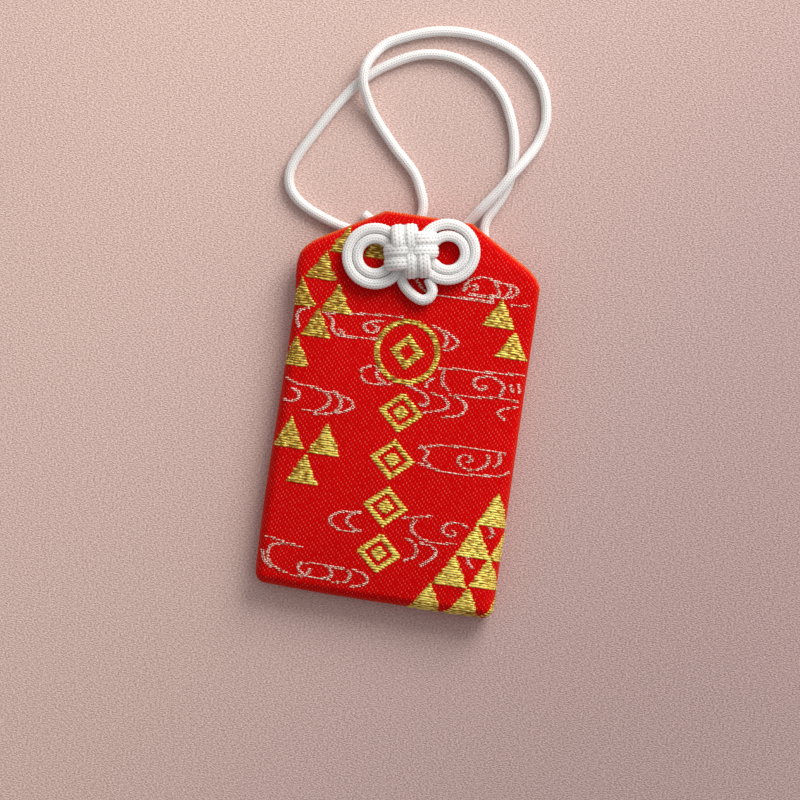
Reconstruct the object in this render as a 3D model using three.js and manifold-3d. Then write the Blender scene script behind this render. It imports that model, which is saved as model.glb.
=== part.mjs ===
// A pouch charm of red brocade, closed and carried by a white braided cord.
// It lies on its back: X runs across the pouch, +Y towards its mouth, and +Z up, out of its front.
// The origin is under the middle of the pouch, on the surface that it lies on. Sizes are in millimetres.
import * as THREE from 'three';
import { mergeVertices } from 'three/addons/utils/BufferGeometryUtils.js';
import Module from 'manifold-3d';

const wasm = await Module();
wasm.setup();

// Outline of the sewn pouch, seen from the front
const pouchLength = 74.6;
const pouchWidth = 46;
const bottomFlare = 0.5;
const mouthWidth = 16.8;
const shoulderDrop = 8.6;
const shoulderRounding = 2.4;
const cornerRadius = 2.4;
const edgeRound = 2.8;
const padRise = 0.7;

// Layers through the thickness, from the back to the front
const clearance = 0.3;
const panelThickness = 0.6;
const interliningThickness = 0.3;
const cardThickness = 0.6;
const paperThickness = 0.2;
const slipThickness = 0.6;
const threadDiameter = 0.5;

// Cord, and the hole that it goes through
const cordDiameter = 2.1;
const knotCordDiameter = 1.9;
const cordRest = 0.05;
const holeDrop = 7.2;
const holeOffset = -2.5;
const knotTurn = THREE.MathUtils.degToRad(12);

// Flat contents of the pouch
const cardMargin = 3.6;
const packetMargin = 5.4;
const slipMargin = 1.2;
const lapReach = 6;
const slipPeak = 4;
const cardClip = 5;
const packetRise = 1;

// Where the back lifts off the surface, to lie over the cord, measured down from the mouth
const liftStart = 28.5;
const liftEnd = 18;

// Double rings of the knot
const ringOuterRadius = 5.35;
const ringInnerRadius = 3;
const ringOffset = 6.9;
const ringDrop = 0.5;
const ringLift = 1.35;
const ringClimb = 0.3;

// Crown of the knot: four pairs of strands, each folded in over one side of it
const crownBase = 2.95;
const crownReach = 4.05;
const crownTop = 4.65;
const crownOffsets = [-2.15, 0.15];
const crownCoreRadius = 3.6;
const stemSpread = 1.45;
const stemAngle = THREE.MathUtils.degToRad(104);

// Where the loop bends up off the surface, beyond the mouth
const hingeBeyondMouth = 1.5;

// Facets
const cordSides = 8;
const ringSides = 6;
const ringStepsPerTurn = 24;
const edgeSteps = 4;
const panelRows = 20;
const panelColumns = 7;

// Sizes that follow from those above
const top = pouchLength / 2;
const bottom = -pouchLength / 2;
const packetThickness = 3 * paperThickness + 3 * clearance + slipThickness;
const cardLevel = panelThickness + interliningThickness + 2 * clearance;
const packetLevel = cardLevel + cardThickness + clearance;
const frontLevel = packetLevel + packetThickness + 2 * clearance + interliningThickness + panelThickness;
const knotLevel = frontLevel + padRise / 2;
const cordLevel = cordRest + cordDiameter / 2;
const mouthLift = cordRest + cordDiameter + 1.5 * clearance;
const holeY = top - holeDrop;
const holeRadius = stemSpread + knotCordDiameter / 2 + clearance;
const hingeY = top + hingeBeyondMouth;
const cardWidth = pouchWidth - 2 * cardMargin;
const cardBottom = bottom + cardMargin;
const cardLength = top - liftStart - cardBottom;
const packetWidth = cardWidth - 2 * packetMargin;
const packetLength = cardLength - packetRise;
const slipWidth = packetWidth - 2 * (paperThickness + slipMargin);
const slipLength = packetLength - 2 * slipMargin;

const cloth = { color: 0xc20a12, roughness: 0.55, metalness: 0 };
const felt = { color: 0xe9e2d2, roughness: 0.95, metalness: 0 };
const board = { color: 0xb9a98a, roughness: 0.9, metalness: 0 };
const paper = { color: 0xf4f0e4, roughness: 0.85, metalness: 0 };
const cedar = { color: 0xc79a62, roughness: 0.7, metalness: 0 };
const thread = { color: 0xb30f18, roughness: 0.6, metalness: 0 };
const braid = { color: 0xf5f4f0, roughness: 0.75, metalness: 0 };

const charm = new THREE.Group();
const knot = new THREE.Group();
knot.position.set(holeOffset, holeY, knotLevel);
knot.rotation.z = knotTurn;
charm.add(knot);

function place(parent, name, geometry, finish) {
  const mesh = new THREE.Mesh(geometry, new THREE.MeshStandardMaterial(finish));
  mesh.name = name;
  parent.add(mesh);
  return mesh;
}

// A closed three.js geometry as a solid that can be joined and cut
function solidOf(geometry) {
  const bare = geometry.clone();
  bare.deleteAttribute('normal');
  bare.deleteAttribute('uv');
  const merged = mergeVertices(bare, 1e-4);
  return new wasm.Manifold(new wasm.Mesh({
    numProp: 3,
    vertProperties: new Float32Array(merged.attributes.position.array),
    triVerts: new Uint32Array(merged.index.array),
  }));
}

function geometryOf(solid) {
  const mesh = solid.getMesh();
  const geometry = new THREE.BufferGeometry();
  geometry.setAttribute('position', new THREE.BufferAttribute(mesh.vertProperties, 3));
  geometry.setIndex(new THREE.BufferAttribute(mesh.triVerts, 1));
  geometry.computeVertexNormals();
  return geometry;
}

// A box between two corners, as a solid
function block(low, high) {
  const box = new THREE.BoxGeometry(high.x - low.x, high.y - low.y, high.z - low.z);
  box.translate((low.x + high.x) / 2, (low.y + high.y) / 2, (low.z + high.z) / 2);
  return solidOf(box);
}

// A round upright bar, as a solid
function upright(x, y, low, high, radius, sides) {
  const bar = new THREE.CylinderGeometry(radius, radius, high - low, sides);
  bar.rotateX(Math.PI / 2);
  bar.translate(x, y, (low + high) / 2);
  return solidOf(bar);
}

// A cord along a curve, with closed ends
function tube(curve, diameter, sides, steps) {
  const section = new THREE.Shape();
  for (let side = 0; side < sides; side += 1) {
    const angle = (2 * Math.PI * side) / sides;
    const across = (Math.cos(angle) * diameter) / 2;
    const up = (Math.sin(angle) * diameter) / 2;
    if (side === 0) section.moveTo(across, up);
    else section.lineTo(across, up);
  }
  section.closePath();
  return new THREE.ExtrudeGeometry(section, { steps, extrudePath: curve });
}

// Half the pouch's width at a height y: sides that flare a little and round over into the shoulders
function halfWidth(y) {
  const side = pouchWidth / 2 + (bottomFlare * (top - y)) / pouchLength;
  const slope = (pouchWidth - mouthWidth) / (2 * shoulderDrop);
  const shoulder = mouthWidth / 2 + (top - y) * slope;
  const blend = Math.max(shoulderRounding * slope - Math.abs(side - shoulder), 0) / (shoulderRounding * slope);
  const rounded = Math.min(side, shoulder) - (blend * blend * shoulderRounding * slope) / 4;
  const rise = Math.min(y - bottom, cornerRadius);
  const cornerCut = cornerRadius - Math.sqrt(cornerRadius ** 2 - (cornerRadius - rise) ** 2);
  return rounded - cornerCut;
}

// How much longer the pouch's width is than the way straight in from its edge
function edgeSlant(y) {
  const step = 0.01;
  const low = Math.max(y - step, bottom + cornerRadius);
  const high = Math.min(y + step, top);
  return Math.hypot(1, (halfWidth(high) - halfWidth(low)) / (high - low));
}

// Height of the back: on the surface, then lifted over the cord towards the mouth
function backHeight(y) {
  const share = THREE.MathUtils.clamp((y - top + liftStart) / (liftStart - liftEnd), 0, 1);
  return mouthLift * share * share * (3 - 2 * share);
}

// How far the padding swells the front: most in the middle, and nothing at the edges
function padHeight(x, y) {
  return padRise * (1 - (x / halfWidth(y)) ** 2) * (1 - (y / top) ** 2);
}

function seamHeight(y) {
  return (backHeight(y) + frontLevel) / 2;
}

// Steps across a padded sheet: a quarter round in from each edge, and even steps between
function crossing(inset, even) {
  const steps = [];
  for (let step = 0; step < edgeSteps; step += 1) {
    const angle = (step * Math.PI) / (2 * edgeSteps);
    const depth = inset + (edgeRound - inset) * (1 - Math.cos(angle));
    steps.push({ depth, share: 0, swell: Math.sin(angle) });
  }
  const middle = [];
  for (let step = 0; step <= even; step += 1) {
    middle.push({ depth: edgeRound, share: step / even, swell: 1 });
  }
  const far = steps.map((step) => ({ ...step, share: 1 })).reverse();
  return [...steps, ...middle, ...far];
}

function rowHeight(row) {
  return THREE.MathUtils.lerp(bottom + row.depth, top - row.depth, row.share);
}

// One skin of a panel, as rows of points. Side 1 is the front and side -1 the back.
function skin(side, inset, drop, rows, columns) {
  return rows.map((row) => {
    const y = rowHeight(row);
    const seam = seamHeight(y) + (side * clearance) / 2;
    return columns.map((column) => {
      const reach = halfWidth(y) - column.depth * edgeSlant(y);
      const x = THREE.MathUtils.lerp(-reach, reach, column.share);
      const level = side > 0 ? frontLevel + padHeight(x, y) - drop : backHeight(y) + drop;
      return new THREE.Vector3(x, y, THREE.MathUtils.lerp(seam, level, row.swell * column.swell));
    });
  });
}

// A closed sheet between an upper and a lower skin with the same rows and columns
function sheet(upper, lower) {
  const rows = upper.length;
  const columns = upper[0].length;
  const positions = [...upper.flat(), ...lower.flat()].flatMap((point) => point.toArray());
  const at = (layer, row, column) => (layer * rows + row) * columns + column;
  const faces = [];
  for (let row = 0; row < rows - 1; row += 1) {
    for (let column = 0; column < columns - 1; column += 1) {
      for (const layer of [0, 1]) {
        const a = at(layer, row, column);
        const b = at(layer, row, column + 1);
        const c = at(layer, row + 1, column + 1);
        const d = at(layer, row + 1, column);
        faces.push(...(layer === 0 ? [a, b, c, a, c, d] : [a, c, b, a, d, c]));
      }
    }
  }
  const rim = [];
  for (let column = 0; column < columns - 1; column += 1) rim.push([0, column]);
  for (let row = 0; row < rows - 1; row += 1) rim.push([row, columns - 1]);
  for (let column = columns - 1; column > 0; column -= 1) rim.push([rows - 1, column]);
  for (let row = rows - 1; row > 0; row -= 1) rim.push([row, 0]);
  rim.forEach(([row, column], index) => {
    const [nextRow, nextColumn] = rim[(index + 1) % rim.length];
    const a = at(0, row, column);
    const b = at(0, nextRow, nextColumn);
    const c = at(1, nextRow, nextColumn);
    const d = at(1, row, column);
    faces.push(a, d, c, a, c, b);
  });
  const geometry = new THREE.BufferGeometry();
  geometry.setAttribute('position', new THREE.Float32BufferAttribute(positions, 3));
  geometry.setIndex(faces);
  return geometry;
}

// The cord hole, cut through every layer that it passes
const cordHole = upright(holeOffset, holeY, 0, frontLevel + edgeRound, holeRadius, 24);

function pierced(geometry) {
  return geometryOf(solidOf(geometry).subtract(cordHole));
}

// The brocade: a front and a back panel, dished so that their edges meet at the side seam
function addPanels() {
  const outerRows = crossing(0, panelRows);
  const outerColumns = crossing(0, panelColumns);
  const innerRows = crossing(panelThickness, panelRows);
  const innerColumns = crossing(panelThickness, panelColumns);
  for (const [name, side] of [['front_panel', 1], ['back_panel', -1]]) {
    const outer = skin(side, 0, 0, outerRows, outerColumns);
    const inner = skin(side, panelThickness, panelThickness, innerRows, innerColumns);
    const panel = side > 0 ? sheet(outer, inner) : sheet(inner, outer);
    place(charm, name, pierced(panel), cloth);
  }
}

// The interlinings: felt sheets that lie inside the panels and give them body
function addInterlinings() {
  const flat = (step) => step.swell === 1;
  const rows = crossing(0, panelRows).filter(flat);
  const columns = crossing(0, 4).filter(flat);
  const near = panelThickness + clearance;
  const far = near + interliningThickness;
  for (const [name, side] of [['front_interlining', 1], ['back_interlining', -1]]) {
    const outer = skin(side, edgeRound, near, rows, columns);
    const inner = skin(side, edgeRound, far, rows, columns);
    const felted = side > 0 ? sheet(outer, inner) : sheet(inner, outer);
    place(charm, name, pierced(felted), felt);
  }
}

// The sewing thread, which runs up inside both sides and along the bottom seam
function addSeamThread() {
  const inset = panelThickness + clearance + threadDiameter / 2;
  const turn = cornerRadius;
  const route = [];
  const sideSteps = 10;
  const seamTop = top - shoulderDrop - shoulderRounding;
  for (let step = 0; step <= sideSteps; step += 1) {
    const y = THREE.MathUtils.lerp(seamTop, bottom + inset + turn, step / sideSteps);
    route.push(new THREE.Vector3(inset - halfWidth(y), y, seamHeight(y)));
  }
  const acrossSteps = 8;
  const acrossReach = pouchWidth / 2 - inset - turn;
  for (let step = 0; step <= acrossSteps; step += 1) {
    const x = THREE.MathUtils.lerp(-acrossReach, acrossReach, step / acrossSteps);
    route.push(new THREE.Vector3(x, bottom + inset, seamHeight(bottom)));
  }
  const rightSide = route.slice(0, sideSteps + 1).reverse().map((point) => point.clone().setX(-point.x));
  const line = new THREE.CatmullRomCurve3([...route, ...rightSide]);
  place(charm, 'seam_thread', tube(line, threadDiameter, ringSides, 64), thread);
}

// The stiffening card behind the packet, with its upper corners clipped
function addCard() {
  const half = cardWidth / 2;
  const outline = new THREE.Shape();
  outline.moveTo(-half, 0);
  outline.lineTo(half, 0);
  outline.lineTo(half, cardLength - cardClip);
  outline.lineTo(half - cardClip, cardLength);
  outline.lineTo(cardClip - half, cardLength);
  outline.lineTo(-half, cardLength - cardClip);
  const card = new THREE.ExtrudeGeometry(outline, { depth: cardThickness, bevelEnabled: false });
  place(charm, 'stiffener_card', card, board).position.set(0, cardBottom, cardLevel);
}

// The paper wrapper: one sheet folded round the slip, with its two laps at the back
function addWrapper() {
  const half = packetWidth / 2;
  const lapGap = paperThickness + clearance;
  const lapTop = lapGap + paperThickness;
  const ceiling = packetThickness - paperThickness;
  const fold = new THREE.Shape([
    new THREE.Vector2(-lapReach, 0),
    new THREE.Vector2(half, 0),
    new THREE.Vector2(half, packetThickness),
    new THREE.Vector2(-half, packetThickness),
    new THREE.Vector2(-half, lapGap),
    new THREE.Vector2(lapReach, lapGap),
    new THREE.Vector2(lapReach, lapTop),
    new THREE.Vector2(paperThickness - half, lapTop),
    new THREE.Vector2(paperThickness - half, ceiling),
    new THREE.Vector2(half - paperThickness, ceiling),
    new THREE.Vector2(half - paperThickness, paperThickness),
    new THREE.Vector2(-lapReach, paperThickness),
  ]);
  const wrapper = new THREE.ExtrudeGeometry(fold, { depth: packetLength, bevelEnabled: false });
  wrapper.rotateX(Math.PI / 2);
  wrapper.translate(0, packetLength, 0);
  place(charm, 'paper_wrapper', wrapper, paper).position.set(0, cardBottom, packetLevel);
}

// The wooden slip inside the wrapper, with a gabled top
function addSlip() {
  const half = slipWidth / 2;
  const outline = new THREE.Shape();
  outline.moveTo(-half, 0);
  outline.lineTo(half, 0);
  outline.lineTo(half, slipLength - slipPeak);
  outline.lineTo(0, slipLength);
  outline.lineTo(-half, slipLength - slipPeak);
  const slip = new THREE.ExtrudeGeometry(outline, { depth: slipThickness, bevelEnabled: false });
  const level = packetLevel + 2 * paperThickness + 2 * clearance;
  place(charm, 'talisman_slip', slip, cedar).position.set(0, cardBottom + slipMargin, level);
}

// A double ring: an outer turn, and an inner turn that it steps in to under the crown
class DoubleRing extends THREE.Curve {
  constructor(side) {
    super();
    this.side = side;
    this.start = THREE.MathUtils.degToRad(42);
    this.stepIn = THREE.MathUtils.degToRad(335);
    this.steppedIn = THREE.MathUtils.degToRad(399);
    this.finish = THREE.MathUtils.degToRad(690);
  }

  getPoint(share) {
    const angle = THREE.MathUtils.lerp(this.start, this.finish, share);
    const inward = THREE.MathUtils.smoothstep(angle, this.stepIn, this.steppedIn);
    const radius = THREE.MathUtils.lerp(ringOuterRadius, ringInnerRadius, inward);
    const x = this.side * (ringOffset - radius * Math.cos(angle));
    const y = -this.side * radius * Math.sin(angle) - ringDrop;
    return new THREE.Vector3(x, y, ringLift + ringClimb * (0.5 + 0.5 * Math.cos(angle)));
  }
}

// The least gap between the turns of a tube, measured on points along it
function leastGap(curve, diameter) {
  const points = curve.getSpacedPoints(400);
  const apart = Math.ceil((400 * 3 * diameter) / curve.getLength());
  let least = Infinity;
  for (let from = 0; from < points.length; from += 1) {
    for (let to = from + apart; to < points.length; to += 1) {
      least = Math.min(least, points[from].distanceTo(points[to]));
    }
  }
  return least - diameter;
}

function addRings() {
  for (const [name, side] of [['left_double_ring', -1], ['right_double_ring', 1]]) {
    const ring = new DoubleRing(side);
    const turns = (ring.finish - ring.start) / (2 * Math.PI);
    const steps = Math.round(turns * ringStepsPerTurn);
    place(knot, name, tube(ring, knotCordDiameter, ringSides, steps), braid);
    console.log(`${name}: least gap between its turns ${leastGap(ring, knotCordDiameter).toFixed(2)} mm`);
  }
}

// The crown: a pair of strands comes up over each side and dives under the next pair
function addCrown() {
  const core = upright(0, 0, crownBase, crownTop, crownCoreRadius, 16);
  const strands = [];
  for (let side = 0; side < 4; side += 1) {
    const turn = (side * Math.PI) / 2;
    for (const offset of crownOffsets) {
      const arch = [
        new THREE.Vector3(offset, crownReach, crownBase - knotCordDiameter),
        new THREE.Vector3(offset, crownReach, crownBase),
        new THREE.Vector3(offset, 0.91 * crownReach, 0.45 * crownBase + 0.55 * crownTop),
        new THREE.Vector3(offset, 0.64 * crownReach, crownTop),
        new THREE.Vector3(offset, 0.35 * crownReach, crownTop - 0.05),
        new THREE.Vector3(offset, 0.05 * crownReach, 0.3 * crownBase + 0.7 * crownTop),
        new THREE.Vector3(offset, -0.2 * crownReach, crownBase),
      ];
      const around = new THREE.Vector3(0, 0, 1);
      const strand = new THREE.CatmullRomCurve3(arch.map((point) => point.applyAxisAngle(around, turn)));
      strands.push(solidOf(tube(strand, knotCordDiameter, cordSides, 10)));
    }
  }
  const reach = 2 * crownReach;
  const above = block(new THREE.Vector3(-reach, -reach, crownBase), new THREE.Vector3(reach, reach, reach));
  let crown = strands.reduce((joined, strand) => joined.add(strand), core).intersect(above);
  const stemFoot = 2 * cordLevel + clearance - cordRest - knotLevel;
  for (const side of [-1, 1]) {
    const x = side * stemSpread * Math.cos(stemAngle);
    const y = side * stemSpread * Math.sin(stemAngle);
    crown = crown.add(upright(x, y, stemFoot, crownTop, knotCordDiameter / 2, cordSides));
  }
  place(knot, 'knot_crown', geometryOf(crown), braid);
}

// The small loop that hangs below the knot
const bottomLoopRoute = [
  [-1.5, -5.9], [-1.3, -6.9], [-0.4, -8.2], [1.3, -9.3], [2.8, -9.1], [3.6, -8.2], [3.55, -7.35],
];

function addBottomLoop() {
  const points = bottomLoopRoute.map(([x, y]) => new THREE.Vector3(x, y, ringLift));
  const loop = tube(new THREE.CatmullRomCurve3(points), knotCordDiameter, cordSides, 12);
  place(knot, 'bottom_loop', loop, braid);
}

// The hanging loop, from the hole and back to it. Points are across, above the mouth's edge and up.
const outerArcRoute = [
  [-2.75, -6.5, 1.1], [-2.3, -3.2, 1.1], [-1.6, -0.3, 1.1], [-1.45, 1.5, 1.1], [-1.9, 3.6, 1.1],
  [-4.1, 7.9, 1.1], [-8.9, 12.6, 1.1], [-13.6, 18, 1.4], [-16, 22.3, 3.1], [-16.55, 24.5, 3.6],
  [-16.4, 26.6, 3.4], [-15.3, 29.2, 2.5], [-12.2, 32.4, 1.2], [-4, 35.6, 1.1], [4.4, 35.9, 1.1],
  [12, 33.6, 1.1], [17.4, 28.6, 1.1], [19.3, 22.6, 1.1], [18.6, 17.6, 1.3], [16.5, 13.4, 2.8],
  [14.3, 10.1, 3.7], [12.5, 7.1, 3.6], [9.8, 3.3, 2.9], [7.75, 0.3, 1.5],
];
const bightRoute = [
  [6.2, -2.6, 1.1], [5, -6.4, 1.1], [4.3, -10.8, 1.1], [5, -13.4, 1.1], [6.9, -15.3, 1.1],
  [9.5, -16, 1.1], [12.1, -15.3, 1.1], [14, -13.4, 1.1], [14.7, -10.8, 1.1], [14.2, -7.9, 1.1],
  [12.7, -5.1, 1.1], [11.4, -3, 1.1], [10.75, -0.9, 1.1],
];
const innerArcRoute = [
  [10.95, 1.2, 1.1], [12.05, 3.5, 1.1], [13.4, 6.4, 1.1], [14.25, 9.5, 1.1], [14.4, 12.8, 1.1],
  [14.1, 16.2, 1.1], [13, 20.2, 1.1], [10.4, 25.2, 1.1], [6, 29, 1.1], [0, 31.1, 1.1],
  [-6, 30.8, 1.1], [-11.6, 28.2, 1.1], [-16.4, 24.5, 1.1], [-20.2, 19.6, 1.1], [-24, 13.2, 1.1],
  [-27.2, 7, 1.1], [-27.8, 3.4, 1.1], [-26.6, 0.7, 1.1], [-23.8, -1.5, 1.1], [-18.6, -3.6, 1.1],
  [-12, -5.4, 1.1], [-6, -8, 1.1], [-0.7, -8.6, 1.1],
];
const loopRoute = [...outerArcRoute, ...bightRoute, ...innerArcRoute];

// Stretches of the loop, by the first and last route points that each one spans
const loopStretches = [
  ['rear_strand_centre', 0, 4, false],
  ['loop_outer_arc', 2, 23, true],
  ['loop_bight', 22, 39, false],
  ['loop_inner_arc', 36, 55, true],
  ['rear_strand_left', 53, 59, false],
];

const tailRoutes = {
  cord_tail_left: [[-5.3, -5.5, 1.1], [-8.7, -3.5, 1.1], [-12.8, -1.2, 1.1]],
  cord_tail_lower: [[1, -7.4, 1.1], [1.6, -10.6, 1.1], [0.8, -14.6, 1.1]],
};

function routeCurve(route) {
  return new THREE.CatmullRomCurve3(route.map(([x, y, z]) => new THREE.Vector3(x, top + y, z)));
}

// The stretches of the loop beyond the mouth swing up together, so each is cut square at the hinge line
function addLoop() {
  const reach = 2 * pouchLength;
  const gap = clearance / 2;
  const beyond = block(new THREE.Vector3(-reach, hingeY + gap, -reach), new THREE.Vector3(reach, reach, reach));
  const behind = block(new THREE.Vector3(-reach, -reach, -reach), new THREE.Vector3(reach, hingeY - gap, reach));
  for (const [name, first, last, swings] of loopStretches) {
    const stretch = loopCurve.slice(first, last);
    const steps = Math.max(6, Math.round(stretch.getLength() / (1.4 * cordDiameter)));
    const cord = solidOf(tube(stretch, cordDiameter, cordSides, steps));
    place(charm, name, geometryOf(cord.intersect(swings ? beyond : behind)), braid);
  }
}

function addTails() {
  for (const [name, route] of Object.entries(tailRoutes)) {
    place(charm, name, tube(routeCurve(route), cordDiameter, cordSides, 6), braid);
  }
}

// A stretch of the whole loop between two of its route points, so that neighbours share one line
class Stretch extends THREE.Curve {
  constructor(whole, first, last, count) {
    super();
    this.whole = whole;
    this.from = first / (count - 1);
    this.to = last / (count - 1);
  }

  getPoint(share) {
    return this.whole.getPoint(THREE.MathUtils.lerp(this.from, this.to, share));
  }
}

const loopCurve = routeCurve(loopRoute);
loopCurve.slice = (first, last) => new Stretch(loopCurve, first, last, loopRoute.length);

addPanels();
addInterlinings();
addSeamThread();
addCard();
addWrapper();
addSlip();
addRings();
addCrown();
addBottomLoop();
addLoop();
addTails();

export default charm;
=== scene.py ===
"""Dresses the pouch charm: red brocade with gold and silver weft, closed by a white braided cord.

Sizes of pieces are written in millimetres in the frame of the solids and become metres in make_piece().
Materials and the lamp are in metres.
The cloth has its own flat coordinates, across and along, that follow it round the pouch's edges.
"""

import bpy
import numpy as np
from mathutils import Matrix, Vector


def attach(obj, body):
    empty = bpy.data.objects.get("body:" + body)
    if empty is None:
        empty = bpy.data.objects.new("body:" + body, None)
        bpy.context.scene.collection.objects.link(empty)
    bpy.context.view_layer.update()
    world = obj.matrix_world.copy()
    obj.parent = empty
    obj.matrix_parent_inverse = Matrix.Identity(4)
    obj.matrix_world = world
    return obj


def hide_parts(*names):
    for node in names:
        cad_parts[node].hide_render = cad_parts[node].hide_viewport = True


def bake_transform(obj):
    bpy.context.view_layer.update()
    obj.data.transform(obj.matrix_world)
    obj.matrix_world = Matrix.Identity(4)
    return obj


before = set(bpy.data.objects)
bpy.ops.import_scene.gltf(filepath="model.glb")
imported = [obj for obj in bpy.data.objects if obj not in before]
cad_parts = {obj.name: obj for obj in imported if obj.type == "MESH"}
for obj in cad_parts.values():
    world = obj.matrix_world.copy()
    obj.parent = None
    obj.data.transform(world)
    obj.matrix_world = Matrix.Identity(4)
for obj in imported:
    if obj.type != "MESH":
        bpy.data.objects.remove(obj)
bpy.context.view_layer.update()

MM = 0.001

# The sewn pouch
POUCH_LENGTH = 74.6
POUCH_WIDTH = 46.0
BOTTOM_FLARE = 0.5
MOUTH_WIDTH = 16.8
SHOULDER_DROP = 8.6
SHOULDER_ROUNDING = 2.4
CORNER_RADIUS = 2.4
EDGE_ROUND = 1.9
FRONT_LEVEL = 6.0
PAD_RISE = 0.8
MOUTH_LIFT = 2.6
LIFT_START = 28.5
LIFT_END = 18.0
SEAM_PINCH = 0.10
TOP = POUCH_LENGTH / 2
BOTTOM = -POUCH_LENGTH / 2

# Its uneven left side
SIDE_BULGE = 0.75
BULGE_DROP = 13.2
BULGE_REACH = 4.2
CORNER_DRAWN_IN = 0.65
CORNER_DRAWN_UP = 0.45
CORNER_REACH = 24.0

# Where its folded edge shows a warmer rim, partly the weft showing and partly painted highlight: distances
# from the mouth, a share elsewhere, and angles of turning over
RIM_START = 13.0
RIM_END = 8.0
RIM_LEAST = 0.15
FOLD_START = 0.62
FOLD_END = 1.2

# The cord and its knot
CORD_DIAMETER = 2.1
LOOP_DIAMETER = 2.0
CROWN_DIAMETER = 2.95
RING_PRESSED = 0.3
CROWN_PRESSED = 0.38
BRAID_LANES = 12
BRAID_PITCH = 0.55
BRAID_LEAN = 0.9
BRAID_RELIEF = 0.13
BRAID_STEP = 0.14
KNOT_CENTRE = (-2.5, TOP - 7.2, FRONT_LEVEL + 0.35)
KNOT_TURN = np.radians(12)
KNOT_HOLD = 5.0
RING_OFFSET = 6.9
RING_DROP = 0.5
RING_OUTER = 5.3
RING_LIFT = 1.3
RING_WAVE = 0.15

# The weave, and where its pattern's own top edge lies and leans
WEFT_PITCH = 0.46
SILVER_PITCH = 0.31
SATIN_ENDS = 5
SATIN_STEP = 2 / SATIN_ENDS
SATIN_PITCH = 1.0
SPECK_ROW = 0.435
SPECK_WIDE = 0.08
SPECK_TALL = 0.52
FOLD_HATCH = 10.0
TIP_HALF = 0.1
RAGGED = 0.25
PATTERN_TOP = 36.5
PATTERN_LEAN = 0.006


def unit(vectors):
    """Each vector over its own length."""
    return vectors / np.linalg.norm(vectors, axis=-1, keepdims=True)


def smooth_share(value, low, high):
    """0 below low, 1 above high, and the cubic 3s^2 - 2s^3 of the share s between them."""
    share = np.clip((value - low) / (high - low), 0, 1)
    return share * share * (3 - 2 * share)


def grid_faces(rows, columns, wrap=False):
    """Quads between neighbours of a grid, row by row; wrap also joins the last column to the first."""
    row, column = np.meshgrid(np.arange(rows - 1), np.arange(columns - (not wrap)), indexing="ij")
    after = (column + 1) % columns
    here, there = row * columns, (row + 1) * columns
    return np.stack([here + column, here + after, there + after, there + column], axis=-1).reshape(-1, 4)


def new_object(name, data):
    thing = bpy.data.objects.new(name, data)
    bpy.context.scene.collection.objects.link(thing)
    return thing


def make_piece(name, points, faces, finish, corners=None):
    """A mesh object at the origin from points in millimetres, with a UV for each corner of each face."""
    mesh = bpy.data.meshes.new(name)
    mesh.from_pydata(np.asarray(points) * MM, [], list(map(tuple, faces)))
    if corners is not None:
        layer = mesh.uv_layers.new(name="cloth")
        layer.data.foreach_set("uv", np.asarray(corners, dtype=np.float32).ravel())
    mesh.polygons.foreach_set("use_smooth", np.ones(len(mesh.polygons), dtype=bool))
    mesh.materials.append(finish)
    mesh.update()
    return new_object(name, mesh)


def even_steps(line, count):
    """Points that cut a line into stretches of even length, with both its ends."""
    travelled = np.concatenate([[0], np.cumsum(np.linalg.norm(np.diff(line, axis=0), axis=1))])
    even = np.linspace(0, travelled[-1], count)
    return np.stack([np.interp(even, travelled, axis) for axis in line.T], axis=1)


def through(points, step):
    """A smooth line through given points, as even steps of its length.

    Between two points it is the Catmull-Rom cubic of those two and their neighbours."""
    steps_between = 40
    knots = np.asarray(points, dtype=float)
    padded = np.vstack([2 * knots[0] - knots[1], knots, 2 * knots[-1] - knots[-2]])
    share = np.linspace(0, 1, steps_between, endpoint=False)[:, None, None]
    before, start, end, after = padded[:-3], padded[1:-2], padded[2:-1], padded[3:]
    cubic = 0.5 * (2 * start + (end - before) * share
                   + (2 * before - 5 * start + 4 * end - after) * share ** 2
                   + (3 * start - before - 3 * end + after) * share ** 3)
    line = np.vstack([cubic.transpose(1, 0, 2).reshape(-1, knots.shape[1]), knots[-1]])
    length = np.linalg.norm(np.diff(line, axis=0), axis=1).sum()
    return even_steps(line, max(3, int(round(length / step)) + 1))


# Shader nodes

def new_tree(material_name):
    material = bpy.data.materials.new(material_name)
    material.use_nodes = True
    tree = material.node_tree
    return material, tree, tree.nodes["Principled BSDF"]


def feed(tree, socket, value):
    """Links a socket to another node's output, or sets its own number or colour."""
    if isinstance(value, bpy.types.NodeSocket):
        tree.links.new(value, socket)
    else:
        socket.default_value = value


def calculate(tree, operation, first, second=0.0):
    node = tree.nodes.new("ShaderNodeMath")
    node.operation = operation
    feed(tree, node.inputs[0], first)
    feed(tree, node.inputs[1], second)
    return node.outputs[0]


def times(tree, first, second):
    return calculate(tree, "MULTIPLY", first, second)


def plus(tree, first, second):
    return calculate(tree, "ADD", first, second)


def minus(tree, first, second):
    return calculate(tree, "SUBTRACT", first, second)


def remap(tree, value, low, high, to_low=0.0, to_high=1.0):
    node = tree.nodes.new("ShaderNodeMapRange")
    node.interpolation_type = "SMOOTHSTEP"
    for socket, number in zip(node.inputs, (value, low, high, to_low, to_high)):
        feed(tree, socket, number)
    return node.outputs[0]


def blend_colours(tree, share, first, second):
    """A Mix node of two colours, which has them at inputs 6 and 7 and gives their blend at output 2."""
    node = tree.nodes.new("ShaderNodeMix")
    node.data_type = "RGBA"
    feed(tree, node.inputs[0], share)
    feed(tree, node.inputs[6], first)
    feed(tree, node.inputs[7], second)
    return node.outputs[2]


def speckle(tree, coordinates, scale, detail=2.0):
    node = tree.nodes.new("ShaderNodeTexNoise")
    tree.links.new(coordinates, node.inputs["Vector"])
    node.inputs["Scale"].default_value = scale
    node.inputs["Detail"].default_value = detail
    return node.outputs["Fac"]


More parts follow.
